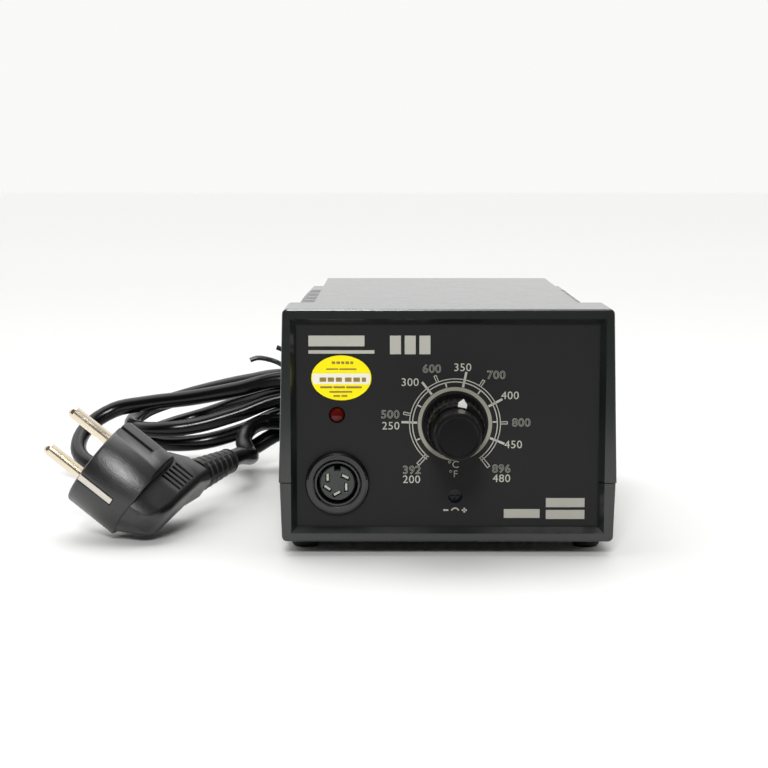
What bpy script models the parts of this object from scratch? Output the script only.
"""Soldering iron station: a two-half moulded case with its panels, controls, transformer and board,
and its mains lead with an angled plug. Blender 4.5, metres, +Z up, the front panel facing -Y."""
import math

import bmesh
import bpy
from mathutils import Matrix, Vector

MM = 0.001

# Case
CASE_WIDTH = 120.0 * MM          # across the upper cover at the split
CASE_DEPTH = 170.0 * MM
CASE_HEIGHT = 83.1 * MM          # without the feet
SPLIT_HEIGHT = 21.3 * MM         # split line above the case's lower edge
SIDE_DRAFT = 1.6 * MM            # how far each side leans in from the split to the top
LOWER_DRAFT = 0.7 * MM
LOWER_INSET = 0.3 * MM           # the upper cover stands this far over the lower case
WALL = 2.4 * MM
EDGE_RADIUS = 1.8 * MM
SPLIT_GAP = 0.3 * MM
FIT = 0.3 * MM                   # clearance between pieces that fit in or on each other
RIM_WIDTH = 2.6 * MM             # flat face of the frame around each panel
RIM_TOP = 3.5 * MM
RIM_SLOPE = 1.9 * MM             # sloped inner edge of that frame
PANEL_RECESS = 3.6 * MM          # from the frame's face back to the panel's face
PANEL_THICKNESS = 2.0 * MM
PANEL_EDGE = 2.2 * MM            # how far a panel runs behind its frame
RIB = 2.1 * MM                   # rib behind a panel

# Stepped top with its vents
STRIP_DEPTH = 29.5 * MM
PLATEAU_HALF = 48.3 * MM
SHOULDER_DROP = 3.6 * MM
SHOULDER_HALF = 54.5 * MM
VENT_WIDTH = 2.6 * MM
VENT_PITCH = 8.0 * MM
VENT_COUNT = 13
VENT_START = 47.0 * MM           # from the front to the first vent's middle
FLOOR_VENT_LENGTH = 30.0 * MM
FLOOR_VENT_COUNT = 7

# Feet and case screws
FOOT_HEIGHT = 5.3 * MM
FOOT_RADIUS = 5.6 * MM
FOOT_X = 51.2 * MM
FOOT_FRONT = 20.0 * MM           # from the front to the middle of the front feet
FOOT_REAR = 17.0 * MM            # from the rear to the middle of the rear feet
BOSS_RADIUS = 3.5 * MM
SCREW_RADIUS = 1.5 * MM
SCREW_HEAD_RADIUS = 2.9 * MM
SCREW_HEAD_HEIGHT = 2.0 * MM
CASE_SCREW_LENGTH = 34.0 * MM

# Front panel: places from the case's middle and from its lower edge
DIAL_X, DIAL_Z = 2.6 * MM, 41.9 * MM
SOCKET_X, SOCKET_Z = -39.2 * MM, 20.7 * MM
LAMP_X, LAMP_Z = -39.3 * MM, 45.1 * MM
TRIM_X, TRIM_Z = 2.8 * MM, 15.8 * MM
LABEL_X, LABEL_Z = -37.7 * MM, 58.4 * MM
LABEL_WIDTH, LABEL_HEIGHT = 21.3 * MM, 16.0 * MM
LABEL_THICKNESS = 0.35 * MM

# Temperature knob, with its distances from the panel's face
KNOB_STAND_OFF = 0.9 * MM
SKIRT_RADIUS = 11.3 * MM
SKIRT_THICKNESS = 1.6 * MM
GRIP_RADIUS = 10.0 * MM
GRIP_LENGTH = 14.5 * MM
GRIP_TEETH = 30
KNOB_STEP = 18.2 * MM
CAP_RADIUS = 8.2 * MM
KNOB_REACH = 31.0 * MM
POINTER_ANGLE = math.radians(12.0)   # clockwise from straight up, seen from the front
POINTER_TIP = 11.4 * MM
POINTER_WIDTH = 3.0 * MM

# Potentiometer
SHAFT_RADIUS = 3.0 * MM
SHAFT_REACH = 26.0 * MM
BUSH_RADIUS = 4.6 * MM
BUSH_REACH = 5.2 * MM
POT_RADIUS = 12.0 * MM
POT_DEPTH = 10.0 * MM
NUT_RADIUS = 6.4 * MM
NUT_THICKNESS = 2.0 * MM
WASHER_RADIUS = 7.2 * MM
WASHER_THICKNESS = 0.6 * MM

# Indicator lamp
LAMP_RADIUS = 2.6 * MM
LAMP_REACH = 2.3 * MM
HOLDER_RADIUS = 5.0 * MM

# Iron socket
RING_RADIUS = 11.4 * MM
RING_BORE = 8.3 * MM
RING_REACH = 2.4 * MM
BARREL_RADIUS = 8.0 * MM
BARREL_WALL = 0.6 * MM
BARREL_LENGTH = 20.0 * MM        # behind the panel's face
INSERT_RADIUS = 6.25 * MM
INSERT_REACH = 1.0 * MM
WELL_DEPTH = 12.0 * MM
KEY_WIDTH, KEY_DEPTH = 2.4 * MM, 1.8 * MM
CONTACT_LENGTH, CONTACT_WIDTH = 2.5 * MM, 0.8 * MM
SOCKET_SLOT_LENGTH, SOCKET_SLOT_WIDTH = 3.3 * MM, 1.5 * MM
CONTACTS = (                     # x and z from the socket's axis, and the slot's turn in degrees
    (-3.5 * MM, 1.9 * MM, 90.0),
    (2.8 * MM, 2.1 * MM, -25.0),
    (3.1 * MM, -1.6 * MM, 90.0),
    (-0.2 * MM, -3.9 * MM, 30.0),
    (-3.6 * MM, -1.9 * MM, -35.0),
)

# Calibration trimmer
TRIM_BODY = 9.5 * MM
TRIM_DEPTH = 5.0 * MM
TRIM_HOLE_RADIUS = 2.5 * MM
ROTOR_RADIUS = 2.3 * MM
ROTOR_THICKNESS = 1.6 * MM
TRIM_GAP = 1.2 * MM              # behind the front panel

# Circuit board
BOARD_WIDTH, BOARD_DEPTH = 88.0 * MM, 54.0 * MM
BOARD_THICKNESS = 1.6 * MM
BOARD_FRONT = 9.5 * MM
BOARD_Z = 8.4 * MM               # above the case's lower edge
POST_RADIUS = 3.2 * MM
BOARD_SCREW_LENGTH = 5.0 * MM
PART_GAP = 0.3 * MM

# Transformer
CORE_WIDTH, CORE_HEIGHT, CORE_STACK = 66.0 * MM, 55.0 * MM, 34.0 * MM
LIMB = 11.0 * MM
COIL_BUILD = 10.0 * MM
CORE_X, CORE_MIDDLE = 7.0 * MM, 103.0 * MM
CORE_BASE = 5.0 * MM             # above the case's lower edge
STRAP = 1.5 * MM
STRAP_DEPTH = 16.0 * MM
STRAP_FOOT = 10.0 * MM

# Rear panel: power switch, fuse holder and the lead's strain relief
SWITCH_X, SWITCH_Z = 36.0 * MM, 48.0 * MM
SWITCH_WIDTH, SWITCH_HEIGHT = 15.0 * MM, 21.0 * MM
SWITCH_BODY_WIDTH, SWITCH_BODY_HEIGHT, SWITCH_BODY_DEPTH = 13.0 * MM, 19.0 * MM, 15.0 * MM
SWITCH_FLANGE = 1.8 * MM
ROCKER_WIDTH = 9.6 * MM
ROCKER_HALF_HEIGHT = 7.6 * MM
ROCKER_TILT = math.radians(8.0)
FUSE_X, FUSE_Z = 4.0 * MM, 48.0 * MM
FUSE_BARREL, FUSE_BORE = 6.0 * MM, 4.6 * MM
FUSE_FLANGE_RADIUS, FUSE_FLANGE = 7.6 * MM, 1.8 * MM
FUSE_BARREL_LENGTH = 30.0 * MM
FUSE_NUT_RADIUS, FUSE_NUT_THICKNESS = 9.0 * MM, 3.0 * MM
FUSE_RADIUS, FUSE_LENGTH = 2.6 * MM, 20.0 * MM
FUSE_CAP_RADIUS, FUSE_CAP_LENGTH = 6.2 * MM, 6.0 * MM
FUSE_PLUG_LENGTH = 8.0 * MM
GLAND_X, GLAND_Z = -38.0 * MM, 50.0 * MM
GLAND_NECK, GLAND_FLANGE_RADIUS, GLAND_FLANGE = 6.0 * MM, 8.2 * MM, 2.2 * MM
GLAND_SLEEVE_START, GLAND_SLEEVE_END = 5.8 * MM, 4.7 * MM
GLAND_SLEEVE_LENGTH = 24.0 * MM

# Mains lead and plug
CORD_DIAMETER = 7.2 * MM
CORD_TURN = 0.55                 # most that the lead turns between two of its points, in radians
CORD_STEP = 60.0 * MM            # farthest apart that they are where it runs straight
TIE_RADIUS = 1.1 * MM
TIE_X = -67.0 * MM               # the tie goes round the hank beside the case's rear left corner
HEAD_RADIUS, HEAD_HEIGHT = 18.3 * MM, 22.0 * MM
HEAD_HALF_WIDTH = 17.0 * MM      # across the flats
PIN_SPACING, PIN_RADIUS, PIN_LENGTH, PIN_SEAT = 19.0 * MM, 2.4 * MM, 19.0 * MM, 6.0 * MM
CLIP_WIDTH, CLIP_LENGTH, CLIP_THICKNESS = 2.6 * MM, 15.5 * MM, 0.9 * MM
RELIEF_START, RELIEF_END = 6.8 * MM, 5.2 * MM
RELIEF_LENGTH, RELIEF_RIBS = 28.0 * MM, 6
RELIEF_TILT = math.radians(10.0)     # the sleeve leans away from the pins
NECK_END = 34.0 * MM
RELIEF_HEIGHT = -29.5 * MM       # the start of the sleeve's axis, from the plug's pin face
PLUG_PLACE = (-129.9 * MM, 35.8 * MM, 28.9 * MM)    # pin face's middle, measured as the route is
PLUG_TURN = (math.radians(15.44), math.radians(-50.81), math.radians(-26.96))

# The hanked lead's middle line in mm: x, then y from ROUTE_START in front of the case's rear, then z from the table.
# It goes from the strain relief's mouth round behind the case to the tie, makes three flat turns through it, and
# leaves for the plug.
ROUTE_START = 170.0 * MM
CORD_ROUTE = (
    (-37, 207, 54.3), (-28, 222, 48.5), (-9, 230, 38), (11, 224, 30.5),
    (24, 209, 27.5), (21, 190, 26.6), (4, 178.5, 26.7), (-16, 177.5, 28), (-42, 177.7, 35),
    (-68, 178, 41.8), (-90, 179.5, 37), (-111, 182.5, 32.8), (-132, 187, 29.6), (-148, 189, 26.2),
    (-160, 182.5, 18.4), (-161, 168.5, 10), (-151, 157.5, 5), (-134, 155, 4), (-116, 159, 4),
    (-101, 168, 4.2), (-86, 180, 8.5), (-68, 187, 17), (-50, 196, 11.5), (-30, 209, 5), (-10, 218, 4),
    (10, 221, 4), (30, 216, 4), (41, 203, 9.5), (38, 187, 16), (22, 178, 18.6), (-2, 177.5, 19.3),
    (-24, 177.5, 21), (-46, 177.7, 26.5), (-68, 178, 33.2), (-90, 173.5, 26.6), (-107, 170.5, 22),
    (-121, 169, 20.2), (-134, 175.5, 19.4), (-140, 190.5, 20.2), (-134, 205.5, 24.5), (-119.5, 212.5, 29),
    (-104, 208, 33.6), (-86, 198, 38.5), (-68, 187, 42), (-46, 195, 35), (-26, 209, 25), (-8, 218, 19.2),
    (10, 220.5, 18.5), (25, 213, 17), (30.5, 199, 14.5), (25, 185, 12), (8, 178, 11.8), (-14, 178.3, 12),
    (-34, 181, 15.5), (-52, 184.5, 21), (-68, 186.6, 25.2), (-88, 181, 17.8), (-105, 176, 13.6),
    (-119, 177.5, 12.4), (-130.5, 186.5, 12.4), (-133, 201.5, 13.4), (-125, 214.5, 15.5), (-110, 218.5, 19.5),
    (-92, 206, 26.8), (-68, 187, 33.6), (-46, 198, 26), (-26, 211, 16), (-12, 218, 12.3),
    (3, 219.5, 11.3), (15, 212.5, 9), (20, 199, 7), (14.5, 185, 4.9), (-1, 177.8, 4), (-20, 177.3, 4.4),
    (-38, 177.3, 8.3), (-53, 177.6, 16), (-66.5, 177.8, 21.8), (-77.6, 172, 23), (-84, 159.5, 21),
    (-84.5, 145, 17.6), (-81, 130, 15.8), (-79.5, 116, 16.8),
)

# The object's box is centred on the origin, from the knob's face to the end of the strain relief.
REAR_REACH = GLAND_FLANGE + GLAND_SLEEVE_LENGTH - PANEL_RECESS
FRONT_REACH = KNOB_REACH - PANEL_RECESS
FRONT_Y = -(CASE_DEPTH + REAR_REACH - FRONT_REACH) / 2
REAR_Y = FRONT_Y + CASE_DEPTH
PANEL_Y = FRONT_Y + PANEL_RECESS                 # the front panel's face
PANEL_BACK = PANEL_Y + PANEL_THICKNESS
REAR_FACE = REAR_Y - PANEL_RECESS                # the rear panel's face
REAR_INSIDE = REAR_FACE - PANEL_THICKNESS

BASE = FOOT_HEIGHT                               # the case's lower edge
TOP = BASE + CASE_HEIGHT
SPLIT = BASE + SPLIT_HEIGHT
HALF = CASE_WIDTH / 2
TOP_HALF = HALF - SIDE_DRAFT
OPENING_HALF = TOP_HALF - RIM_WIDTH - RIM_SLOPE - 0.2 * MM
OPENING_TOP = TOP - RIM_TOP - RIM_SLOPE
OPENING_BOTTOM = BASE + RIM_WIDTH + RIM_SLOPE + 0.4 * MM
PANEL_HALF = OPENING_HALF + PANEL_EDGE
PANEL_TOP = OPENING_TOP + PANEL_EDGE
PANEL_BOTTOM = OPENING_BOTTOM - PANEL_EDGE
REAR_PANEL_TOP = TOP - SHOULDER_DROP - WALL - 1.5 * MM   # the rear panel ends below the stepped shoulders
REAR_OPENING_TOP = REAR_PANEL_TOP - PANEL_EDGE

TOWARDS_FRONT = (math.pi / 2, 0.0, 0.0)          # turns local +Z to -Y
TOWARDS_REAR = (-math.pi / 2, 0.0, 0.0)          # turns local +Z to +Y


# ---------------------------------------------------------------- helpers
def clear_scene():
    for obj in list(bpy.data.objects):
        bpy.data.objects.remove(obj, do_unlink=True)


def new_collection(name):
    collection = bpy.data.collections.new(name)
    bpy.context.scene.collection.children.link(collection)
    return collection


def put_in(obj, collection):
    for old in list(obj.users_collection):
        old.objects.unlink(obj)
    collection.objects.link(obj)


def material(name, colour, roughness, metallic=0.0):
    made = bpy.data.materials.new(name)
    made.use_nodes = True
    shader = made.node_tree.nodes["Principled BSDF"]
    shader.inputs["Base Color"].default_value = (*colour, 1.0)
    shader.inputs["Roughness"].default_value = roughness
    shader.inputs["Metallic"].default_value = metallic
    made.diffuse_color = (*colour, 1.0)
    return made


def mesh_object(name, bm):
    bmesh.ops.recalc_face_normals(bm, faces=bm.faces)
    mesh = bpy.data.meshes.new(name)
    bm.to_mesh(mesh)
    bm.free()
    obj = bpy.data.objects.new(name, mesh)
    parts.objects.link(obj)
    return obj


def dress(obj, made, smooth=False):
    obj.data.materials.clear()
    obj.data.materials.append(made)
    if smooth and obj.type == "MESH":
        for face in obj.data.polygons:
            face.use_smooth = True
    return obj


def block(name, low, high):
    """A box between two corners, with its origin in its middle."""
    low, high = Vector(low), Vector(high)
    bm = bmesh.new()
    bmesh.ops.create_cube(bm, size=1.0)
    bmesh.ops.scale(bm, vec=high - low, verts=bm.verts)
    obj = mesh_object(name, bm)
    obj.location = (low + high) / 2
    return obj


def rod(name, radius, start, length, rotation=(0.0, 0.0, 0.0), sides=24, end_radius=None):
    """A cylinder or cone from start along its turned local +Z."""
    bm = bmesh.new()
    bmesh.ops.create_cone(
        bm, cap_ends=True, segments=sides, radius1=radius,
        radius2=radius if end_radius is None else end_radius, depth=length,
    )
    bmesh.ops.translate(bm, vec=(0.0, 0.0, length / 2), verts=bm.verts)
    obj = mesh_object(name, bm)
    obj.location = start
    obj.rotation_euler = rotation
    return obj


def prism(name, outline, y_start, y_end):
    """An outline of (x, z) points carried along Y."""
    bm = bmesh.new()
    face = bm.faces.new([bm.verts.new((x, y_start, z)) for x, z in outline])
    made = bmesh.ops.extrude_face_region(bm, geom=[face])
    moved = [item for item in made["geom"] if isinstance(item, bmesh.types.BMVert)]
    bmesh.ops.translate(bm, vec=(0.0, y_end - y_start, 0.0), verts=moved)
    return mesh_object(name, bm)


def turned(name, profile, location, rotation, steps=32):
    """A solid of revolution: (radius, height) points down the outer side, about local Z."""
    closed = profile[0][0] > 0.0
    mesh = bpy.data.meshes.new(name)
    count = len(profile)
    edges = [(i, i + 1) for i in range(count - 1)]
    if closed:
        edges.append((count - 1, 0))
    mesh.from_pydata([(radius, 0.0, height) for radius, height in profile], edges, [])
    obj = bpy.data.objects.new(name, mesh)
    parts.objects.link(obj)
    screw = obj.modifiers.new("Turn", "SCREW")
    screw.steps = steps
    screw.render_steps = steps
    screw.use_merge_vertices = True
    screw.merge_threshold = 0.00001
    screw.use_smooth_shade = True
    obj.location = location
    obj.rotation_euler = rotation
    return obj


def soften(obj, width, segments=2, angle=30.0):
    bevel = obj.modifiers.new("Edge", "BEVEL")
    bevel.width = width
    bevel.segments = segments
    bevel.limit_method = "ANGLE"
    bevel.angle_limit = math.radians(angle)
    return obj


def as_cutter(cutter):
    put_in(cutter, cutters)
    cutter.hide_render = True
    cutter.display_type = "WIRE"
    return cutter


def join_or_cut(obj, other, operation):
    as_cutter(other)
    boolean = obj.modifiers.new(operation.title(), "BOOLEAN")
    boolean.operation = operation
    boolean.solver = "EXACT"
    boolean.object = other
    return obj


def cut(obj, *others):
    for other in others:
        join_or_cut(obj, other, "DIFFERENCE")
    return obj


def add(obj, *others):
    for other in others:
        join_or_cut(obj, other, "UNION")
    return obj


def mirrored(outline):
    """The right half of an outline, from the bottom up, and its mirror image."""
    return list(outline) + [(-x, z) for x, z in reversed(outline)]


def arc(centre_x, centre_z, radius, start, end, count):
    """Points on an arc in the XZ plane; the angles are in degrees from +X towards +Z."""
    found = []
    for i in range(count + 1):
        angle = math.radians(start + (end - start) * i / count)
        found.append((centre_x + radius * math.cos(angle), centre_z + radius * math.sin(angle)))
    return found


# ---------------------------------------------------------------- case
def panel_frame_cutters(name):
    """What both case halves leave open for the panels: the sloped opening, the groove and the ribs' opening."""
    made = []
    for end, face_y, inward, opening_top in (("front", FRONT_Y, 1.0, OPENING_TOP), ("rear", REAR_Y, -1.0, REAR_OPENING_TOP)):
        def span(start, stop):
            ys = sorted((face_y + inward * start, face_y + inward * stop))
            return ys[0], ys[1]

        low, high = span(-5.0 * MM, WALL * 4)
        opening = block(f"{name}_{end}_opening", (-OPENING_HALF, low, OPENING_BOTTOM), (OPENING_HALF, high, opening_top))
        low, high = span(PANEL_RECESS - FIT, PANEL_RECESS + PANEL_THICKNESS + FIT)
        groove = block(
            f"{name}_{end}_groove",
            (-PANEL_HALF - FIT, low, PANEL_BOTTOM - FIT), (PANEL_HALF + FIT, high, opening_top + PANEL_EDGE + FIT),
        )
        slope = frame_slope(f"{name}_{end}_slope", face_y, inward, opening_top)
        made += [opening, groove, slope]
    return made


def frame_slope(name, face_y, inward, opening_top):
    """A wedge-sided cutter: wide at the frame's face and as narrow as the opening at the panel."""
    depth = PANEL_RECESS - FIT - 0.4 * MM
    reach = 1.0 * MM                              # how far the cutter starts in front of the face
    widen = RIM_SLOPE * (depth + reach) / depth
    bm = bmesh.new()
    bmesh.ops.create_cube(bm, size=1.0)
    for vert in bm.verts:
        outer = vert.co.y < 0.0
        grow = widen if outer else 0.0
        right, up = math.copysign(1.0, vert.co.x), vert.co.z > 0.0
        vert.co.x = right * (OPENING_HALF + grow)
        vert.co.z = opening_top + grow if up else OPENING_BOTTOM - grow
        vert.co.y = face_y + inward * (-reach if outer else depth)
    return mesh_object(name, bm)


def cavity(name):
    """The space inside both halves, behind the ribs."""
    roof = TOP - WALL
    ledge = TOP - SHOULDER_DROP - WALL
    slope_top = SHOULDER_HALF - 1.4 * MM
    slope_foot = TOP_HALF - WALL - 0.4 * MM
    right = [
        (HALF - LOWER_INSET - LOWER_DRAFT - WALL, BASE + WALL),
        (HALF - LOWER_INSET - WALL, SPLIT),
        (slope_foot, ledge - (slope_foot - slope_top)),
        (slope_top, ledge),
        (PLATEAU_HALF - WALL, ledge),
        (PLATEAU_HALF - WALL, roof),
    ]
    inner = PANEL_RECESS + PANEL_THICKNESS + FIT + RIB
    return prism(name, mirrored(right), FRONT_Y + inner, REAR_Y - inner)


def beyond_split(name, low, high):
    """A cutter that leaves a case half sharp at the split, over the whole case between two heights."""
    return block(name, (-HALF - WALL, FRONT_Y - WALL, low), (HALF + WALL, REAR_Y + WALL, high))


def foot_places():
    rear = REAR_Y - FOOT_REAR
    front = FRONT_Y + FOOT_FRONT
    return [(side * FOOT_X, y) for y in (front, rear) for side in (-1.0, 1.0)]


def build_top_cover():
    corner = arc(TOP_HALF - EDGE_RADIUS, TOP - EDGE_RADIUS, EDGE_RADIUS, 0.0, 90.0, 4)
    cover = prism("top_cover", mirrored([(HALF, SPLIT - 2 * MM)] + corner), FRONT_Y, REAR_Y)
    soften(cover, 0.6 * MM)
    cut(cover, beyond_split("cover_split", SPLIT - 10 * MM, SPLIT))
    cut(cover, cavity("cover_cavity"), *panel_frame_cutters("cover"))
    ledge = TOP - SHOULDER_DROP
    beyond = HALF + 3.0 * MM
    for side in (-1.0, 1.0):
        outline = [
            (side * PLATEAU_HALF, ledge), (side * SHOULDER_HALF, ledge),
            (side * beyond, ledge - (beyond - SHOULDER_HALF)), (side * beyond, TOP + 5.0 * MM),
            (side * PLATEAU_HALF, TOP + 5.0 * MM),
        ]
        cut(cover, prism(f"shoulder_step_{side:+.0f}", outline, FRONT_Y + STRIP_DEPTH, REAR_Y + 5.0 * MM))
        for i in range(VENT_COUNT):
            middle = FRONT_Y + VENT_START + i * VENT_PITCH
            xs = sorted((side * (PLATEAU_HALF + 1.2 * MM), side * beyond))
            cut(cover, block(
                f"shoulder_vent_{side:+.0f}_{i}",
                (xs[0], middle - VENT_WIDTH / 2, ledge - 4.6 * MM), (xs[1], middle + VENT_WIDTH / 2, TOP + MM),
            ))
    for i, (x, y) in enumerate(foot_places()):
        add(cover, rod(f"cover_boss_{i}", BOSS_RADIUS, (x, y, SPLIT + FIT), TOP - SHOULDER_DROP - 1.0 * MM - SPLIT, sides=16))
    for i, (x, y) in enumerate(foot_places()):
        cut(cover, rod(
            f"cover_pilot_{i}", SCREW_RADIUS + FIT, (x, y, SPLIT - MM),
            CASE_SCREW_LENGTH - SPLIT_HEIGHT + 3.0 * MM, sides=12,
        ))
    return dress(cover, material("cover_plastic", (0.032, 0.033, 0.034), 0.55))


def build_bottom_case():
    high = HALF - LOWER_INSET
    low = high - LOWER_DRAFT
    corner = arc(low - EDGE_RADIUS, BASE + EDGE_RADIUS, EDGE_RADIUS, -90.0, 0.0, 4)
    case = prism("bottom_case", mirrored(corner + [(high, SPLIT + 2 * MM)]), FRONT_Y, REAR_Y)
    soften(case, 0.6 * MM)
    cut(case, beyond_split("case_split", SPLIT - SPLIT_GAP, SPLIT + 10 * MM))
    cut(case, cavity("case_cavity"), *panel_frame_cutters("case"))
    for i, (x, y) in enumerate(foot_places()):
        add(case, rod(f"case_boss_{i}", BOSS_RADIUS, (x, y, BASE + 1.0 * MM), SPLIT_HEIGHT - SPLIT_GAP - 1.0 * MM, sides=16))
        cut(case, rod(f"case_bore_{i}", SCREW_RADIUS + FIT, (x, y, BASE - MM), SPLIT_HEIGHT + 2.0 * MM, sides=12))
    for i, (x, y) in enumerate(board_screw_places()):
        add(case, rod(f"board_post_{i}", POST_RADIUS, (x, y, BASE + 1.0 * MM), BOARD_Z - FIT - 1.0 * MM, sides=16))
        cut(case, rod(f"board_pilot_{i}", SCREW_RADIUS + FIT, (x, y, BASE + 3.0 * MM), BOARD_Z, sides=12))
    for i, x in enumerate(strap_foot_places()):
        add(case, rod(f"strap_post_{i}", BOSS_RADIUS, (x, core_y(), BASE + 1.0 * MM), CORE_BASE - FIT - 1.0 * MM, sides=16))
        cut(case, rod(f"strap_pilot_{i}", SCREW_RADIUS + FIT, (x, core_y(), BASE + 1.0 * MM), CORE_BASE + MM, sides=12))
    for i in range(FLOOR_VENT_COUNT):
        x = (i - (FLOOR_VENT_COUNT - 1) / 2) * VENT_PITCH + CORE_X
        y = core_y() + CORE_STACK / 2 + COIL_BUILD
        cut(case, block(
            f"floor_vent_{i}",
            (x - VENT_WIDTH / 2, y - FLOOR_VENT_LENGTH / 2, BASE - MM),
            (x + VENT_WIDTH / 2, y + FLOOR_VENT_LENGTH / 2, BASE + WALL + MM),
        ))
    return dress(case, material("case_plastic", (0.028, 0.029, 0.030), 0.55))


def build_front_panel():
    panel = block("front_panel", (-PANEL_HALF, PANEL_Y, PANEL_BOTTOM), (PANEL_HALF, PANEL_BACK, PANEL_TOP))
    holes = (
        ("dial", DIAL_X, DIAL_Z, BUSH_RADIUS + FIT, 24), ("socket", SOCKET_X, SOCKET_Z, BARREL_RADIUS + FIT, 32),
        ("lamp", LAMP_X, LAMP_Z, LAMP_RADIUS + FIT, 24), ("trim", TRIM_X, TRIM_Z, TRIM_HOLE_RADIUS, 24),
    )
    for name, x, z, radius, sides in holes:
        cut(panel, rod(f"{name}_hole", radius, (x, PANEL_Y - MM, BASE + z), PANEL_THICKNESS + 2 * MM, TOWARDS_REAR, sides))
    return dress(panel, material("panel_face", (0.027, 0.027, 0.025), 0.6))


def build_rear_panel():
    panel = block("rear_panel", (-PANEL_HALF, REAR_INSIDE, PANEL_BOTTOM), (PANEL_HALF, REAR_FACE, REAR_PANEL_TOP))
    cut(panel, block(
        "switch_hole",
        (SWITCH_X - SWITCH_BODY_WIDTH / 2 - FIT, REAR_INSIDE - MM, BASE + SWITCH_Z - SWITCH_BODY_HEIGHT / 2 - FIT),
        (SWITCH_X + SWITCH_BODY_WIDTH / 2 + FIT, REAR_FACE + MM, BASE + SWITCH_Z + SWITCH_BODY_HEIGHT / 2 + FIT),
    ))
    for name, x, z, radius in (
        ("fuse", FUSE_X, FUSE_Z, FUSE_BARREL + FIT), ("gland", GLAND_X, GLAND_Z, GLAND_NECK + FIT),
    ):
        cut(panel, rod(f"{name}_hole", radius, (x, REAR_INSIDE - MM, BASE + z), PANEL_THICKNESS + 2 * MM, TOWARDS_REAR))
    return dress(panel, material("rear_panel_plastic", (0.03, 0.03, 0.03), 0.6))


def build_feet_and_case_screws():
    rubber = material("foot_rubber", (0.012, 0.012, 0.012), 0.85)
    steel = material("case_screw_steel", (0.42, 0.41, 0.39), 0.35, 1.0)
    pocket = SCREW_HEAD_HEIGHT + 1.2 * MM
    for i, (x, y) in enumerate(foot_places()):
        bore, head = SCREW_RADIUS + FIT, SCREW_HEAD_RADIUS + FIT
        height = FOOT_HEIGHT - FIT
        profile = [
            (bore, height), (FOOT_RADIUS, height), (FOOT_RADIUS - 0.5 * MM, 0.8 * MM), (FOOT_RADIUS - 1.2 * MM, 0.0),
            (head, 0.0), (head, pocket), (bore, pocket),
        ]
        dress(turned(f"foot_{i + 1}", profile, (x, y, 0.0), (0.0, 0.0, 0.0), 24), rubber)
        screw(f"case_screw_{i + 1}", (x, y, pocket - FIT), CASE_SCREW_LENGTH, steel, upwards=True)


def screw(name, seat, length, made, upwards=False):
    """A cross-head screw; its head's flat underside is on the seat, with the shank going down or up."""
    profile = [
        (0.0, SCREW_HEAD_HEIGHT), (SCREW_HEAD_RADIUS * 0.6, SCREW_HEAD_HEIGHT), (SCREW_HEAD_RADIUS, SCREW_HEAD_HEIGHT * 0.45),
        (SCREW_HEAD_RADIUS, 0.0), (SCREW_RADIUS, 0.0), (SCREW_RADIUS, MM - length), (SCREW_RADIUS * 0.4, -length), (0.0, -length),
    ]
    turn = (math.pi, 0.0, 0.0) if upwards else (0.0, 0.0, 0.0)
    made_screw = turned(name, profile, seat, turn, 12)
    sign = -1.0 if upwards else 1.0
    x, y, z = seat
    arm, half = SCREW_HEAD_RADIUS * 0.62, 0.35 * MM
    near, far = z + sign * (SCREW_HEAD_HEIGHT - 0.9 * MM), z + sign * (SCREW_HEAD_HEIGHT + MM)
    low, high = min(near, far), max(near, far)
    cut(
        made_screw,
        block(f"{name}_cross_a", (x - arm, y - half, low), (x + arm, y + half, high)),
        block(f"{name}_cross_b", (x - half, y - arm, low), (x + half, y + arm, high)),
    )
    return dress(made_screw, made)


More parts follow.
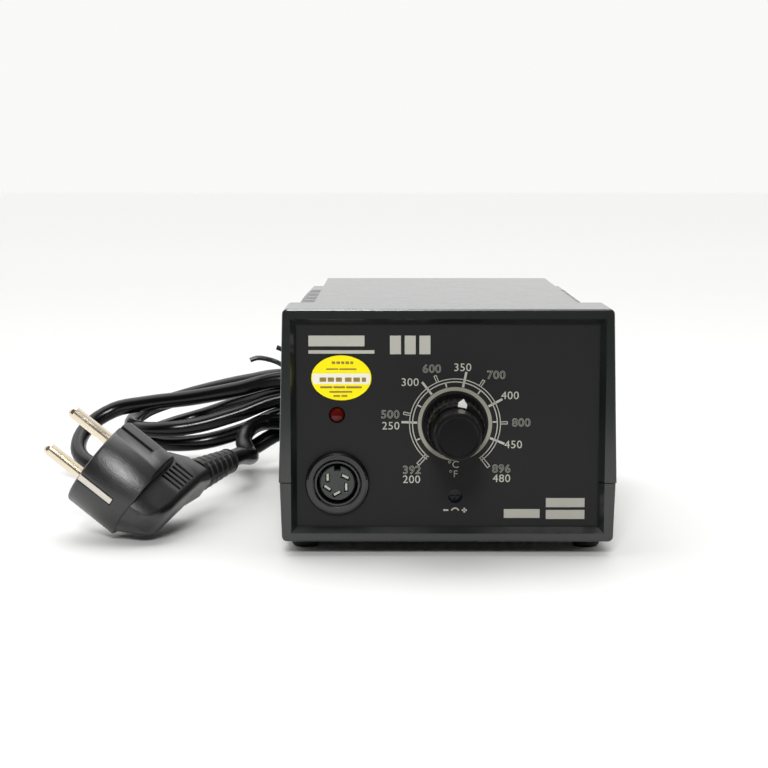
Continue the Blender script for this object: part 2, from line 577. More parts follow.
# ---------------------------------------------------------------- front controls
def build_knob():
    place = Vector((DIAL_X, PANEL_Y, BASE + DIAL_Z))
    axis = bpy.data.objects.new("temperature_axis", None)
    axis.location = place
    parts.objects.link(axis)
    teeth = []
    for i in range(GRIP_TEETH * 2):
        angle = math.pi * (i + 0.5) / GRIP_TEETH
        radius = GRIP_RADIUS if i % 2 else GRIP_RADIUS - 0.5 * MM
        teeth.append((radius * math.sin(angle), radius * math.cos(angle)))
    grip_start = KNOB_STAND_OFF + SKIRT_THICKNESS - 0.4 * MM
    knob = prism("temperature_knob", teeth, -grip_start, -(grip_start + GRIP_LENGTH))
    knob.location = (0.0, 0.0, 0.0)
    bevel_start = grip_start + GRIP_LENGTH - 0.3 * MM
    core = [
        (0.0, KNOB_REACH - 0.4 * MM), (CAP_RADIUS - 1.7 * MM, KNOB_REACH - 0.4 * MM), (CAP_RADIUS - 1.2 * MM, KNOB_REACH),
        (CAP_RADIUS - 0.7 * MM, KNOB_REACH), (CAP_RADIUS - 0.2 * MM, KNOB_REACH - 0.4 * MM), (CAP_RADIUS - 0.1 * MM, KNOB_REACH - MM),
        (CAP_RADIUS, KNOB_STEP), (GRIP_RADIUS - 1.1 * MM, KNOB_STEP), (GRIP_RADIUS - 0.2 * MM, bevel_start),
        (GRIP_RADIUS - 0.6 * MM, bevel_start - MM), (GRIP_RADIUS - 0.6 * MM, KNOB_STAND_OFF + SKIRT_THICKNESS),
        (SKIRT_RADIUS - 0.3 * MM, KNOB_STAND_OFF + SKIRT_THICKNESS), (SKIRT_RADIUS, KNOB_STAND_OFF + SKIRT_THICKNESS - 0.4 * MM),
        (SKIRT_RADIUS, KNOB_STAND_OFF), (0.0, KNOB_STAND_OFF),
    ]
    body = turned("knob_turned_core", core, (0.0, 0.0, 0.0), TOWARDS_FRONT, 48)
    add(knob, body)
    hollow = KNOB_STAND_OFF + 9.0 * MM
    bore = [
        (0.0, SHAFT_REACH + FIT), (SHAFT_RADIUS + FIT, SHAFT_REACH + FIT), (SHAFT_RADIUS + FIT, hollow),
        (WASHER_RADIUS + 2 * FIT, hollow), (WASHER_RADIUS + 2 * FIT, -MM), (0.0, -MM),
    ]
    cut(
        knob,
        turned("knob_bore", bore, (0.0, 0.0, 0.0), TOWARDS_FRONT, 24),
        rod("grub_bore", SCREW_RADIUS + FIT, (0.0, -13.2 * MM, 0.0), 2 * GRIP_RADIUS, (math.pi, 0.0, 0.0), 12),
        pointer_block("pointer_seat", FIT),
    )
    knob.parent = axis
    dress(knob, material("knob_plastic", (0.012, 0.012, 0.013), 0.35))
    pointer = pointer_block("knob_pointer", 0.0)
    dress(pointer, material("pointer_white", (0.78, 0.77, 0.72), 0.5))
    grub = rod("knob_grub_screw", SCREW_RADIUS, (0.0, -13.2 * MM, -SHAFT_RADIUS - FIT), 5.0 * MM, (math.pi, 0.0, 0.0), 12)
    cut(grub, rod("grub_hex", 0.75 * MM, (0.0, -13.2 * MM, -SHAFT_RADIUS - FIT - 3.5 * MM), 3.0 * MM, (math.pi, 0.0, 0.0), 6))
    dress(grub, material("grub_screw_steel", (0.15, 0.15, 0.15), 0.4, 1.0))
    shaft = rod("pot_shaft", SHAFT_RADIUS, (0.0, PANEL_THICKNESS + 1.5 * MM, 0.0), SHAFT_REACH + PANEL_THICKNESS + 1.5 * MM, TOWARDS_FRONT, 24)
    dress(shaft, material("shaft_steel", (0.55, 0.54, 0.52), 0.3, 1.0), True)
    moving = [knob, pointer, grub, shaft, body]
    moving += [bpy.data.objects[name] for name in ("knob_bore", "grub_bore", "pointer_seat", "grub_hex")]
    for piece in moving:
        piece.parent = axis
    return axis


def pointer_block(name, grow):
    """The white index: a house-shaped plate let into the knob's front step, turned to the pointer's mark."""
    half = POINTER_WIDTH / 2 + grow
    foot = CAP_RADIUS + 0.4 * MM - grow
    shoulder, tip = POINTER_TIP - 1.6 * MM, POINTER_TIP + grow
    outline = [(-half, foot), (half, foot), (half, shoulder), (0.0, tip), (-half, shoulder)]
    front = KNOB_STEP + 0.5 * MM + (3.0 * MM if grow else 0.0)
    plate = prism(name, outline, -front, -(KNOB_STEP - 2.0 * MM - grow))
    plate.rotation_euler = (0.0, POINTER_ANGLE, 0.0)
    return plate


def build_potentiometer():
    centre = Vector((DIAL_X, PANEL_BACK, BASE + DIAL_Z))
    washer_front = PANEL_Y - FIT - WASHER_THICKNESS
    body = rod("pot_body", POT_RADIUS, centre + Vector((0.0, FIT, 0.0)), POT_DEPTH, TOWARDS_REAR, 32)
    soften(body, 0.6 * MM, 1)
    add(body, rod("pot_bush", BUSH_RADIUS, (DIAL_X, centre.y + 3.0 * MM, centre.z), BUSH_REACH + PANEL_THICKNESS + 3.0 * MM, TOWARDS_FRONT, 24))
    add(body, block(
        "pot_terminal_base", (DIAL_X - 6.0 * MM, centre.y + 2.0 * MM, centre.z - POT_RADIUS - 4.0 * MM),
        (DIAL_X + 6.0 * MM, centre.y + 3.4 * MM, centre.z - POT_RADIUS + 4.0 * MM),
    ))
    depth = SHAFT_REACH + 10.0 * MM
    cut(body, rod("pot_shaft_bore", SHAFT_RADIUS + FIT, (DIAL_X, centre.y + 1.5 * MM + FIT, centre.z), depth, TOWARDS_FRONT, 24))
    dress(body, material("pot_steel", (0.4, 0.4, 0.38), 0.4, 1.0))
    washer = [
        (BUSH_RADIUS + FIT, WASHER_THICKNESS), (WASHER_RADIUS, WASHER_THICKNESS), (WASHER_RADIUS, 0.0), (BUSH_RADIUS + FIT, 0.0),
    ]
    dress(
        turned("pot_washer", washer, (DIAL_X, PANEL_Y - FIT, centre.z), TOWARDS_FRONT, 24),
        material("washer_steel", (0.5, 0.5, 0.48), 0.35, 1.0),
    )
    nut = rod("pot_nut", NUT_RADIUS, (DIAL_X, washer_front - FIT, centre.z), NUT_THICKNESS, TOWARDS_FRONT, 6)
    cut(nut, rod("pot_nut_bore", BUSH_RADIUS + FIT, (DIAL_X, PANEL_Y, centre.z), 8.0 * MM, TOWARDS_FRONT, 24))
    dress(nut, material("nut_steel", (0.5, 0.49, 0.45), 0.35, 1.0))


def build_lamp():
    centre = (LAMP_X, PANEL_BACK + 6.0 * MM, BASE + LAMP_Z)
    reach = LAMP_REACH + PANEL_THICKNESS + 6.0 * MM
    dome = [(0.0, reach)]
    for i in range(1, 5):
        angle = math.pi / 2 * i / 4
        dome.append((LAMP_RADIUS * math.sin(angle), reach - LAMP_RADIUS * (1 - math.cos(angle))))
    dome += [(LAMP_RADIUS, 1.0 * MM), (LAMP_RADIUS + 0.4 * MM, 1.0 * MM), (LAMP_RADIUS + 0.4 * MM, 0.0), (0.0, 0.0)]
    dress(turned("led_lamp", dome, centre, TOWARDS_FRONT, 24), material("lamp_red", (0.35, 0.012, 0.012), 0.15))
    inner, flange = LAMP_RADIUS + 0.4 * MM + FIT, 1.6 * MM
    holder = [
        (inner, 8.0 * MM), (inner + 1.2 * MM, 8.0 * MM), (inner + 1.2 * MM, flange), (HOLDER_RADIUS + MM, flange),
        (HOLDER_RADIUS + MM, 0.0), (inner, 0.0),
    ]
    dress(
        turned("led_holder", holder, (LAMP_X, PANEL_BACK + FIT, BASE + LAMP_Z), TOWARDS_REAR, 24),
        material("lamp_holder_plastic", (0.02, 0.02, 0.02), 0.5),
    )


def build_iron_socket():
    centre = Vector((SOCKET_X, PANEL_Y, BASE + SOCKET_Z))
    bore = BARREL_RADIUS - BARREL_WALL
    back = -(PANEL_THICKNESS + BARREL_LENGTH)
    flange = -(PANEL_THICKNESS + FIT)
    ring = [
        (RING_BORE, RING_REACH - 0.5 * MM), (RING_BORE + 0.5 * MM, RING_REACH), (RING_RADIUS - 1.1 * MM, RING_REACH),
        (RING_RADIUS - 0.4 * MM, RING_REACH - 0.4 * MM), (RING_RADIUS, RING_REACH - 1.2 * MM), (RING_RADIUS, FIT), (RING_BORE, FIT),
    ]
    dress(turned("iron_socket_ring", ring, centre, TOWARDS_FRONT, 48), material("socket_ring_gloss", (0.01, 0.01, 0.01), 0.12))
    shell = [
        (bore, RING_REACH - 0.4 * MM), (BARREL_RADIUS, RING_REACH - 0.4 * MM), (BARREL_RADIUS, flange), (RING_RADIUS - MM, flange),
        (RING_RADIUS - MM, flange - 1.6 * MM), (BARREL_RADIUS, flange - 1.6 * MM), (BARREL_RADIUS, back), (bore, back),
    ]
    dress(turned("iron_socket_shell", shell, centre, TOWARDS_FRONT, 32), material("socket_shell_metal", (0.05, 0.05, 0.055), 0.3, 1.0))
    inner = bore - FIT
    floor = INSERT_REACH - WELL_DEPTH
    insert_profile = [
        (0.0, INSERT_REACH), (INSERT_RADIUS - 0.3 * MM, INSERT_REACH), (INSERT_RADIUS, INSERT_REACH - 0.3 * MM),
        (INSERT_RADIUS, floor), (inner, floor), (inner, back + MM), (0.0, back + MM),
    ]
    insert = turned("iron_socket_insert", insert_profile, centre, TOWARDS_FRONT, 32)
    front, rear = centre.y - INSERT_REACH - MM, centre.y - back + MM
    cut(insert, block(
        "key_notch", (SOCKET_X - KEY_WIDTH / 2, front, centre.z + INSERT_RADIUS - KEY_DEPTH),
        (SOCKET_X + KEY_WIDTH / 2, centre.y - floor - MM, centre.z + INSERT_RADIUS + MM),
    ))
    brass = material("socket_contact_brass", (0.7, 0.55, 0.3), 0.3, 1.0)
    for i, (x, z, turn) in enumerate(CONTACTS):
        half_length, half_width = SOCKET_SLOT_LENGTH / 2, SOCKET_SLOT_WIDTH / 2
        slot = block(f"contact_slot_{i}", (-half_length, front, -half_width), (half_length, rear, half_width))
        slot.location += Vector((SOCKET_X + x, 0.0, centre.z + z))
        slot.rotation_euler = (0.0, -math.radians(turn), 0.0)
        cut(insert, slot)
        half_length, half_width = CONTACT_LENGTH / 2, CONTACT_WIDTH / 2
        contact = block(
            f"iron_socket_contact_{i + 1}", (-half_length, centre.y + 0.4 * MM, -half_width),
            (half_length, centre.y - back + 4.0 * MM, half_width),
        )
        contact.location += Vector((SOCKET_X + x, 0.0, centre.z + z))
        contact.rotation_euler = (0.0, -math.radians(turn), 0.0)
        dress(contact, brass)
    dress(insert, material("socket_insert_grey", (0.12, 0.12, 0.125), 0.5))


def build_trimmer():
    face = PANEL_BACK + TRIM_GAP
    centre = Vector((TRIM_X, face, BASE + TRIM_Z))
    half = TRIM_BODY / 2
    base = BASE + BOARD_Z + BOARD_THICKNESS + PART_GAP
    body = block("cal_trimmer_body", (TRIM_X - half, face, base), (TRIM_X + half, face + TRIM_DEPTH, centre.z + half - 1.2 * MM))
    pocket = ROTOR_THICKNESS + FIT
    cut(body, rod("trimmer_pocket", ROTOR_RADIUS + FIT, centre - Vector((0.0, MM, 0.0)), pocket + MM, TOWARDS_REAR, 24))
    dress(body, material("trimmer_blue", (0.02, 0.07, 0.3), 0.4))
    rotor = rod("cal_trimmer_rotor", ROTOR_RADIUS, centre, ROTOR_THICKNESS, TOWARDS_REAR, 24)
    reach, slot = ROTOR_RADIUS * 0.7, 0.4 * MM
    cut(
        rotor,
        block("rotor_slot_a", (TRIM_X - reach, face - MM, centre.z - slot), (TRIM_X + reach, face + 0.8 * MM, centre.z + slot)),
        block("rotor_slot_b", (TRIM_X - slot, face - MM, centre.z - reach), (TRIM_X + slot, face + 0.8 * MM, centre.z + reach)),
    )
    dress(rotor, material("rotor_white", (0.7, 0.7, 0.66), 0.5))


def build_label():
    outline = []
    for i in range(40):
        angle = 2 * math.pi * i / 40
        outline.append((LABEL_X + LABEL_WIDTH / 2 * math.cos(angle), BASE + LABEL_Z + LABEL_HEIGHT / 2 * math.sin(angle)))
    label = prism("inspection_label", outline, PANEL_Y - 0.1 * MM - LABEL_THICKNESS, PANEL_Y - 0.1 * MM)
    dress(label, material("label_yellow", (0.85, 0.72, 0.03), 0.4))


# ---------------------------------------------------------------- inside
def board_screw_places():
    x = BOARD_WIDTH / 2 - 5.0 * MM
    y = FRONT_Y + BOARD_FRONT + BOARD_DEPTH - 5.0 * MM
    return [(-x, y), (x, y)]


def core_y():
    return FRONT_Y + CORE_MIDDLE


def strap_foot_places():
    reach = CORE_WIDTH / 2 + FIT + STRAP + STRAP_FOOT / 2
    return [CORE_X - reach, CORE_X + reach]


def build_board():
    under = BASE + BOARD_Z
    top = under + BOARD_THICKNESS
    front = FRONT_Y + BOARD_FRONT
    board = block("circuit_board", (-BOARD_WIDTH / 2, front, under), (BOARD_WIDTH / 2, front + BOARD_DEPTH, top))
    steel = material("board_screw_steel", (0.5, 0.5, 0.48), 0.35, 1.0)
    for i, (x, y) in enumerate(board_screw_places()):
        cut(board, rod(f"board_hole_{i}", SCREW_RADIUS + FIT, (x, y, under - MM), BOARD_THICKNESS + 2 * MM, sides=12))
        screw(f"board_screw_{i + 1}", (x, y, top + FIT), BOARD_SCREW_LENGTH, steel)
    dress(board, material("board_green", (0.02, 0.12, 0.05), 0.45))
    seat = top + PART_GAP
    capacitor = [
        (0.0, 16.0 * MM), (4.6 * MM, 16.0 * MM), (5.0 * MM, 15.6 * MM), (5.0 * MM, 2.2 * MM), (4.6 * MM, 1.7 * MM),
        (5.0 * MM, 1.2 * MM), (5.0 * MM, 0.0), (0.0, 0.0),
    ]
    dress(
        turned("electrolytic_capacitor", capacitor, (24.0 * MM, front + 34.0 * MM, seat), (0.0, 0.0, 0.0), 24),
        material("capacitor_sleeve", (0.02, 0.03, 0.09), 0.4),
    )
    chip = block("control_chip", (-4.0 * MM, front + 30.0 * MM, seat), (6.0 * MM, front + 36.5 * MM, seat + 3.4 * MM))
    dress(soften(chip, 0.3 * MM, 1), material("chip_epoxy", (0.015, 0.015, 0.015), 0.5))
    sink_x, sink_y = -20.0 * MM, front + 36.0 * MM
    outline = []
    fins, pitch, thick, tall, web = 4, 4.0 * MM, 1.4 * MM, 14.0 * MM, 2.0 * MM
    for i in range(fins):
        left = sink_x + i * pitch
        outline += [(left, seat + web), (left, seat + tall), (left + thick, seat + tall), (left + thick, seat + web)]
    outline = [(sink_x, seat)] + outline[1:-1] + [(sink_x + (fins - 1) * pitch + thick, seat)]
    dress(prism("heat_sink", outline, sink_y, sink_y + 12.0 * MM), material("heat_sink_aluminium", (0.6, 0.6, 0.6), 0.4, 1.0))
    triac_y = sink_y - PART_GAP
    triac = block("triac", (sink_x + 1.7 * MM, triac_y - 4.4 * MM, seat), (sink_x + 11.7 * MM, triac_y, seat + 15.0 * MM))
    dress(soften(triac, 0.3 * MM, 1), material("triac_epoxy", (0.02, 0.02, 0.02), 0.5))
    terminal = block("terminal_block", (36.0 * MM - 4.0 * MM, front + 16.0 * MM, seat), (41.0 * MM, front + 41.0 * MM, seat + 10.0 * MM))
    for i in range(4):
        y = front + (19.5 + 6.0 * i) * MM
        cut(terminal, rod(f"terminal_screw_well_{i}", 1.9 * MM, (36.5 * MM, y, seat + 6.0 * MM), 6.0 * MM, sides=12))
    dress(terminal, material("terminal_green", (0.03, 0.22, 0.09), 0.45))


def build_transformer():
    base = BASE + CORE_BASE
    y_front, y_back = core_y() - CORE_STACK / 2, core_y() + CORE_STACK / 2
    core = block("transformer_core", (CORE_X - CORE_WIDTH / 2, y_front, base), (CORE_X + CORE_WIDTH / 2, y_back, base + CORE_HEIGHT))
    window_low, window_high = base + LIMB, base + CORE_HEIGHT - LIMB
    for side in (-1.0, 1.0):
        xs = sorted((CORE_X + side * LIMB, CORE_X + side * (CORE_WIDTH / 2 - LIMB)))
        cut(core, block(f"core_window_{side:+.0f}", (xs[0], y_front - MM, window_low), (xs[1], y_back + MM, window_high)))
    dress(core, material("lamination_steel", (0.22, 0.21, 0.2), 0.5, 1.0))
    outer_x, outer_y = CORE_WIDTH / 2 - LIMB - FIT, CORE_STACK / 2 + COIL_BUILD
    coil = block(
        "transformer_winding", (CORE_X - outer_x, core_y() - outer_y, window_low + FIT),
        (CORE_X + outer_x, core_y() + outer_y, window_high - FIT),
    )
    soften(coil, 2.5 * MM, 3)
    cut(coil, block(
        "coil_hole", (CORE_X - LIMB - FIT, y_front - FIT, window_low - MM), (CORE_X + LIMB + FIT, y_back + FIT, window_high + MM),
    ))
    dress(coil, material("winding_tape", (0.75, 0.6, 0.12), 0.45))
    inner, top = CORE_WIDTH / 2 + FIT, base + CORE_HEIGHT + FIT
    outer, foot = inner + STRAP, inner + STRAP + STRAP_FOOT
    right = [(inner, base), (foot, base), (foot, base + STRAP), (outer, base + STRAP), (outer, top + STRAP)]
    left = [(-x, z) for x, z in reversed(right)]
    outline = [(CORE_X + x, z) for x, z in right + left + [(-inner, top), (inner, top)]]
    strap = prism("transformer_bracket", outline, core_y() - STRAP_DEPTH / 2, core_y() + STRAP_DEPTH / 2)
    steel = material("bracket_screw_steel", (0.5, 0.5, 0.48), 0.35, 1.0)
    for i, x in enumerate(strap_foot_places()):
        cut(strap, rod(f"strap_hole_{i}", SCREW_RADIUS + FIT, (x, core_y(), base - MM), STRAP + 2 * MM, sides=12))
        screw(f"transformer_screw_{i + 1}", (x, core_y(), base + STRAP + FIT), 4.5 * MM, steel)
    dress(strap, material("bracket_steel", (0.55, 0.55, 0.5), 0.35, 1.0))


# ---------------------------------------------------------------- rear fittings
def build_power_switch():
    centre = Vector((SWITCH_X, REAR_FACE, BASE + SWITCH_Z))
    half_x, half_z = SWITCH_BODY_WIDTH / 2, SWITCH_BODY_HEIGHT / 2
    body = block(
        "power_switch_body", (SWITCH_X - half_x, REAR_FACE - SWITCH_BODY_DEPTH, centre.z - half_z),
        (SWITCH_X + half_x, REAR_FACE + MM, centre.z + half_z),
    )
    flange_x, flange_z = SWITCH_WIDTH / 2, SWITCH_HEIGHT / 2
    flange = block(
        "switch_flange", (SWITCH_X - flange_x, REAR_FACE + FIT, centre.z - flange_z),
        (SWITCH_X + flange_x, REAR_FACE + FIT + SWITCH_FLANGE, centre.z + flange_z),
    )
    soften(flange, 0.5 * MM)
    add(body, flange)
    for i, (x, z) in enumerate(((-3.0, -6.0), (3.0, -6.0), (-3.0, 0.0), (3.0, 0.0))):
        add(body, block(
            f"switch_terminal_{i}", (SWITCH_X + (x - 0.4) * MM, REAR_FACE - SWITCH_BODY_DEPTH - 7.0 * MM, centre.z + (z - 2.3) * MM),
            (SWITCH_X + (x + 0.4) * MM, REAR_FACE - SWITCH_BODY_DEPTH + MM, centre.z + (z + 2.3) * MM),
        ))
    opening = ROCKER_HALF_HEIGHT + 1.1 * MM
    cut(body, block(
        "switch_opening", (SWITCH_X - ROCKER_WIDTH / 2 - FIT, REAR_FACE - 8.5 * MM, centre.z - opening),
        (SWITCH_X + ROCKER_WIDTH / 2 + FIT, REAR_FACE + 5.0 * MM, centre.z + opening),
    ))
    dress(body, material("switch_body_black", (0.015, 0.015, 0.015), 0.4))
    outline = [
        (-4.5 * MM, -4.0 * MM), (-ROCKER_HALF_HEIGHT + 0.2 * MM, 1.2 * MM), (-ROCKER_HALF_HEIGHT, 3.4 * MM),
        (-4.0 * MM, 2.7 * MM), (0.0, 2.2 * MM), (4.0 * MM, 2.7 * MM),
        (ROCKER_HALF_HEIGHT, 3.4 * MM), (ROCKER_HALF_HEIGHT - 0.2 * MM, 1.2 * MM), (4.5 * MM, -4.0 * MM),
    ]
    rocker = prism("power_switch_rocker", outline, -ROCKER_WIDTH / 2, ROCKER_WIDTH / 2)
    rocker.data.transform(Matrix(((0.0, 1.0, 0.0, 0.0), (0.0, 0.0, 1.0, 0.0), (1.0, 0.0, 0.0, 0.0), (0.0, 0.0, 0.0, 1.0))))
    rocker.location = centre
    rocker.rotation_euler = (ROCKER_TILT, 0.0, 0.0)
    dress(rocker, material("rocker_black", (0.012, 0.012, 0.012), 0.3))


def build_fuse_holder():
    centre = Vector((FUSE_X, REAR_FACE, BASE + FUSE_Z))
    back = -FUSE_BARREL_LENGTH
    flange = FIT + FUSE_FLANGE
    body = [
        (0.0, back), (0.0, back + 2.0 * MM), (FUSE_BORE, back + 2.0 * MM), (FUSE_BORE, flange), (FUSE_FLANGE_RADIUS - 0.5 * MM, flange),
        (FUSE_FLANGE_RADIUS, flange - 0.6 * MM), (FUSE_FLANGE_RADIUS, FIT), (FUSE_BARREL, FIT), (FUSE_BARREL, back),
    ]
    holder = turned("fuse_holder_body", body[1:] + body[:1], centre, TOWARDS_REAR, 32)
    dress(holder, material("fuse_holder_black", (0.015, 0.015, 0.015), 0.45))
    nut = rod("fuse_holder_nut", FUSE_NUT_RADIUS, (FUSE_X, REAR_INSIDE - FIT, centre.z), FUSE_NUT_THICKNESS, TOWARDS_FRONT, 6)
    cut(nut, rod("fuse_nut_bore", FUSE_BARREL + FIT, (FUSE_X, REAR_INSIDE, centre.z), 8.0 * MM, TOWARDS_FRONT, 24))
    dress(nut, material("fuse_nut_plastic", (0.02, 0.02, 0.02), 0.5))
    seat = flange + FIT
    cup = FUSE_RADIUS + FIT
    plug_end = seat - FUSE_PLUG_LENGTH
    cap = [
        (0.0, seat + FUSE_CAP_LENGTH), (FUSE_CAP_RADIUS - 0.8 * MM, seat + FUSE_CAP_LENGTH),
        (FUSE_CAP_RADIUS, seat + FUSE_CAP_LENGTH - 0.8 * MM), (FUSE_CAP_RADIUS, seat), (FUSE_BORE - FIT, seat),
        (FUSE_BORE - FIT, plug_end), (cup, plug_end), (cup, plug_end + 5.0 * MM), (0.0, plug_end + 5.0 * MM),
    ]
    cap_piece = turned("fuse_holder_cap", cap, centre, TOWARDS_REAR, 32)
    cut(cap_piece, block(
        "cap_driver_slot", (FUSE_X - 4.5 * MM, REAR_FACE + seat + FUSE_CAP_LENGTH - 1.4 * MM, centre.z - 0.7 * MM),
        (FUSE_X + 4.5 * MM, REAR_FACE + seat + FUSE_CAP_LENGTH + MM, centre.z + 0.7 * MM),
    ))
    dress(cap_piece, material("fuse_cap_black", (0.015, 0.015, 0.015), 0.4))
    tip = plug_end + 5.0 * MM - FIT
    fuse = rod("fuse", FUSE_RADIUS, (FUSE_X, REAR_FACE + tip - FUSE_LENGTH, centre.z), FUSE_LENGTH, TOWARDS_REAR, 16)
    dress(fuse, material("fuse_glass", (0.6, 0.62, 0.6), 0.1), True)


def build_gland():
    bore = CORD_DIAMETER / 2 + FIT
    inner_flange = -(PANEL_THICKNESS + FIT)
    end = GLAND_FLANGE + GLAND_SLEEVE_LENGTH
    profile = [
        (bore, end), (GLAND_SLEEVE_END, end), (GLAND_SLEEVE_START, GLAND_FLANGE), (GLAND_FLANGE_RADIUS - 0.6 * MM, GLAND_FLANGE),
        (GLAND_FLANGE_RADIUS, GLAND_FLANGE - 0.6 * MM), (GLAND_FLANGE_RADIUS, FIT), (GLAND_NECK, FIT), (GLAND_NECK, inner_flange),
        (GLAND_FLANGE_RADIUS - MM, inner_flange), (GLAND_FLANGE_RADIUS - 2 * MM, inner_flange - 3.0 * MM), (bore, inner_flange - 3.0 * MM),
    ]
    gland = turned("cord_gland", profile, (GLAND_X, REAR_FACE, BASE + GLAND_Z), TOWARDS_REAR, 24)
    return dress(gland, material("gland_rubber", (0.015, 0.015, 0.015), 0.6))


# ---------------------------------------------------------------- mains lead
def loft(name, sections):
    """A solid through (y, outline) sections whose outlines have the same number of (x, z) points."""
    bm = bmesh.new()
    rings = [[bm.verts.new((x, y, z)) for x, z in outline] for y, outline in sections]
    for near, far in zip(rings, rings[1:]):
        for i in range(len(near)):
            j = (i + 1) % len(near)
            bm.faces.new((near[i], near[j], far[j], far[i]))
    bm.faces.new(rings[0])
    bm.faces.new(rings[-1])
    return mesh_object(name, bm)


def plug_parent():
    holder = bpy.data.objects.new("plug_place", None)
    x, y, z = PLUG_PLACE
    holder.location = (x, y + REAR_Y - ROUTE_START, z)
    holder.rotation_euler = PLUG_TURN
    parts.objects.link(holder)
    return holder


def build_plug():
    """An angled two-pin plug with earth clips; local +Z is the way that its pins point, local +Y is the lead's."""
    place = plug_parent()
    body = turned("plug_body", [
        (0.0, 0.0), (HEAD_RADIUS - 1.2 * MM, 0.0), (HEAD_RADIUS - 0.4 * MM, -0.4 * MM), (HEAD_RADIUS, -1.2 * MM),
        (HEAD_RADIUS, 0.6 * MM - HEAD_HEIGHT), (HEAD_RADIUS - 0.6 * MM, -HEAD_HEIGHT), (0.0, -HEAD_HEIGHT),
    ], (0.0, 0.0, 0.0), (0.0, 0.0, 0.0), 40)
    block_outline = [(-17.0, -17.0), (-17.0, -21.5), (-6.5, -34.5), (7.0, -34.5), (9.0, -32.5), (9.0, -17.0)]
    neck_outline = [(-6.4, -23.0), (-7.6, -27.5), (-5.0, -36.4), (5.0, -36.4), (7.6, -32.5), (6.4, -23.0)]
    stations = []
    for y, depth in ((-17.6, 0.8), (-15.5, 0.9), (-12.0, 0.97), (-7.0, 1.0)):
        across = math.sqrt(HEAD_RADIUS ** 2 - (y * MM) ** 2) / HEAD_RADIUS
        stations.append((y, [(x * across, z * depth) for x, z in block_outline]))
    stations += [(0.0, block_outline), (23.0, block_outline), (NECK_END / MM, neck_outline)]
    back = loft("plug_back", [(y * MM, [(x * MM, z * MM) for x, z in outline]) for y, outline in stations])
    soften(back, 1.0 * MM, 2)
    add(body, back)
    for side in (-1.0, 1.0):
        xs = sorted((side * HEAD_HALF_WIDTH, side * (HEAD_RADIUS + 4.0 * MM)))
        cut(body, block(f"plug_flat_{side:+.0f}", (xs[0], -HEAD_RADIUS, -16.0 * MM), (xs[1], HEAD_RADIUS, MM)))
        xs = sorted((side * (HEAD_HALF_WIDTH - 1.0 * MM), side * (HEAD_RADIUS + 4.0 * MM)))
        cut(body, block(f"plug_groove_{side:+.0f}", (xs[0], -1.2 * MM, -15.0 * MM), (xs[1], 1.2 * MM, MM)))
        ys = sorted((side * (HEAD_RADIUS - CLIP_THICKNESS - 1.2 * MM), side * (HEAD_RADIUS + 2.0 * MM)))
        half = CLIP_WIDTH / 2 + FIT
        cut(body, block(f"plug_clip_slot_{side:+.0f}", (-half, ys[0], -CLIP_LENGTH - FIT), (half, ys[1], MM)))
        seat = (side * PIN_SPACING / 2, 0.0, -PIN_SEAT)
        cut(body, rod(f"plug_pin_bore_{side:+.0f}", PIN_RADIUS + FIT, seat, PIN_SEAT + MM, sides=24))
    for i in range(5):
        low = (4.0 + 3.4 * i) * MM
        cut(body, block(f"plug_grip_{i}", (8.2 * MM, low, -31.0 * MM), (12.0 * MM, low + 1.6 * MM, -22.5 * MM)))
    dress(body, material("plug_plastic", (0.02, 0.02, 0.021), 0.5))
    nickel = material("pin_nickel", (0.72, 0.63, 0.46), 0.25, 1.0)
    strip = material("earth_clip_steel", (0.6, 0.58, 0.54), 0.3, 1.0)
    pin_profile = [
        (0.0, PIN_LENGTH), (PIN_RADIUS - 1.1 * MM, PIN_LENGTH), (PIN_RADIUS - 0.3 * MM, PIN_LENGTH - 0.7 * MM),
        (PIN_RADIUS, PIN_LENGTH - 1.8 * MM), (PIN_RADIUS, FIT - PIN_SEAT), (0.0, FIT - PIN_SEAT),
    ]
    pieces = [body]
    for i, side in enumerate((1.0, -1.0)):
        pin = turned(f"plug_pin_{i + 1}", pin_profile, (side * PIN_SPACING / 2, 0.0, 0.0), (0.0, 0.0, 0.0), 20)
        ys = sorted((side * (HEAD_RADIUS - CLIP_THICKNESS), side * HEAD_RADIUS))
        clip = block(f"plug_earth_clip_{i + 1}", (-CLIP_WIDTH / 2, ys[0], -CLIP_LENGTH), (CLIP_WIDTH / 2, ys[1], -0.4 * MM))
        soften(clip, 0.25 * MM)
        pieces += [dress(pin, nickel), dress(clip, strip)]
    pitch = RELIEF_LENGTH / RELIEF_RIBS
    ribs = []
    for i in range(RELIEF_RIBS):
        radius = RELIEF_START + (RELIEF_END - RELIEF_START) * i / (RELIEF_RIBS - 1)
        ribs += [(radius, i * pitch), (radius, (i + 0.62) * pitch), (radius - MM, (i + 0.7) * pitch), (radius - MM, (i + 0.92) * pitch)]
    relief = turned(
        "plug_strain_relief", [(0.0, RELIEF_LENGTH)] + [(RELIEF_END, RELIEF_LENGTH)] + ribs[::-1] + [(0.0, 0.0)],
        (0.0, NECK_END + 1.8 * MM, RELIEF_HEIGHT), (-math.pi / 2 - RELIEF_TILT, 0.0, 0.0), 20,
    )
    pieces.append(dress(relief, material("relief_rubber", (0.014, 0.014, 0.014), 0.6)))
    pieces += [modifier.object for modifier in body.modifiers if modifier.type == "BOOLEAN"]
    for piece in pieces:
        piece.parent = place
    return place


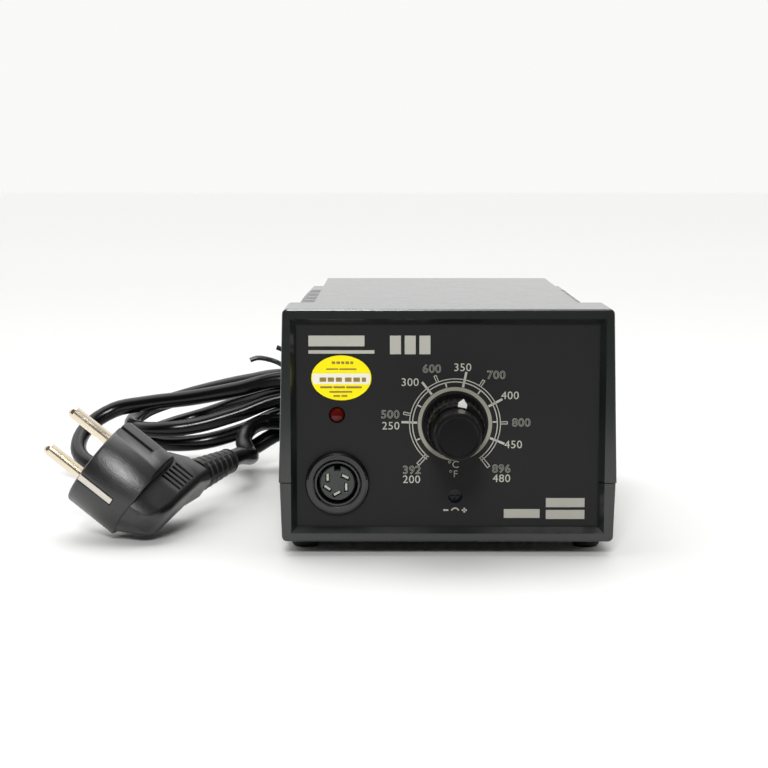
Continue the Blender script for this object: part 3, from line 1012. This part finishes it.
def smooth_line(points, step):
    """Points about a step apart on a curve that passes through every given point."""
    ends = [points[0] * 2 - points[1]] + points + [points[-1] * 2 - points[-2]]
    line = []
    for a, b, c, d in zip(ends, ends[1:], ends[2:], ends[3:]):
        knots = [0.0]
        for near, far in ((a, b), (b, c), (c, d)):
            knots.append(knots[-1] + (far - near).length ** 0.5)
        count = max(2, round((c - b).length / step))
        for i in range(count):
            t = knots[1] + (knots[2] - knots[1]) * i / count
            first = a.lerp(b, (t - knots[0]) / (knots[1] - knots[0]))
            second = b.lerp(c, (t - knots[1]) / (knots[2] - knots[1]))
            third = c.lerp(d, (t - knots[2]) / (knots[3] - knots[2]))
            early = first.lerp(second, (t - knots[0]) / (knots[2] - knots[0]))
            late = second.lerp(third, (t - knots[1]) / (knots[3] - knots[1]))
            line.append(early.lerp(late, (t - knots[1]) / (knots[2] - knots[1])))
    return line + [points[-1]]


def thin_line(line, turn, step):
    """Fewer of a line's points: one for each turn's worth of bend, or for each straight step."""
    kept, used = [line[0]], 0.0
    for before, here, after in zip(line, line[1:], line[2:]):
        used += (here - before).angle(after - here) / turn + (here - before).length / step
        if used >= 1.0:
            kept.append(here)
            used = 0.0
    return kept + [line[-1]]


def tube(name, points, radius, resolution):
    curve = bpy.data.curves.new(name, "CURVE")
    curve.dimensions = "3D"
    curve.bevel_depth = radius
    curve.bevel_resolution = resolution
    curve.use_fill_caps = True
    spline = curve.splines.new("POLY")
    spline.points.add(len(points) - 1)
    for place, point in zip(spline.points, points):
        place.co = (*point, 1.0)
    obj = bpy.data.objects.new(name, curve)
    parts.objects.link(obj)
    return obj


def build_mains_cord(plug):
    line = [Vector((GLAND_X, REAR_FACE + GLAND_FLANGE + GLAND_SLEEVE_LENGTH + FIT, BASE + GLAND_Z))]
    line += [Vector((x * MM, y * MM + REAR_Y - ROUTE_START, z * MM)) for x, y, z in CORD_ROUTE]
    turn = plug.rotation_euler.to_matrix()
    along = Vector((0.0, math.cos(RELIEF_TILT), -math.sin(RELIEF_TILT)))
    end = plug.location + turn @ (Vector((0.0, NECK_END + 1.8 * MM, RELIEF_HEIGHT)) + along * (RELIEF_LENGTH + FIT))
    lead_in = turn @ along * 10.0 * MM
    cord = tube("mains_cord", thin_line(smooth_line(line + [end + lead_in, end], 2.0 * MM), CORD_TURN, CORD_STEP), CORD_DIAMETER / 2, 2)
    dress(cord, material("cord_sheath", (0.014, 0.014, 0.015), 0.45))


def build_twist_tie():
    """A wire tie: one end, once round the hank, and the other end past the first."""
    clear = CORD_DIAMETER / 2 + TIE_RADIUS + 0.5 * MM
    front, back = 177.0 * MM - clear, 188.8 * MM + clear
    low, high = 16.0 * MM - clear, 42.8 * MM + clear
    bend = 5.0 * MM
    corners = ((front + bend, high - bend, 90.0), (front + bend, low + bend, 180.0),
               (back - bend, low + bend, 270.0), (back - bend, high - bend, 0.0))
    loop = [point for y, z, start in corners for point in arc(y, z, bend, start, start + 90.0, 3)]
    first_end = ((-17.0, 177.5, 50.6), (-14.0, 178.0, 51.6), (-10.0, 178.5, 51.2), (-5.0, 179.0, 49.6))
    line = [(TIE_X + x * MM, y * MM, z * MM) for x, y, z in first_end]
    for i, (y, z) in enumerate(loop):
        line.append((TIE_X + (-1.8 + 3.6 * i / (len(loop) - 1)) * MM, y, z))
    last_end = ((1.4, 184.0, 48.6), (0.2, 185.5, 51.6), (-2.0, 186.2, 54.0), (-5.5, 186.5, 55.6))
    line += [(TIE_X + x * MM, y * MM, z * MM) for x, y, z in last_end]
    line = [Vector((x, y + REAR_Y - ROUTE_START, z)) for x, y, z in line]
    tie = tube("twist_tie", smooth_line(line, 3.0 * MM), TIE_RADIUS, 2)
    dress(tie, material("tie_black", (0.012, 0.012, 0.012), 0.5))


# ---------------------------------------------------------------- build
clear_scene()
parts = new_collection("soldering_iron_station")
cutters = new_collection("cutters")
cutters.hide_render = True

build_top_cover()
build_bottom_case()
build_front_panel()
build_rear_panel()
build_feet_and_case_screws()
build_knob()
build_potentiometer()
build_lamp()
build_iron_socket()
build_trimmer()
build_label()
build_board()
build_transformer()
build_power_switch()
build_fuse_holder()
build_gland()
build_mains_cord(build_plug())
build_twist_tie()
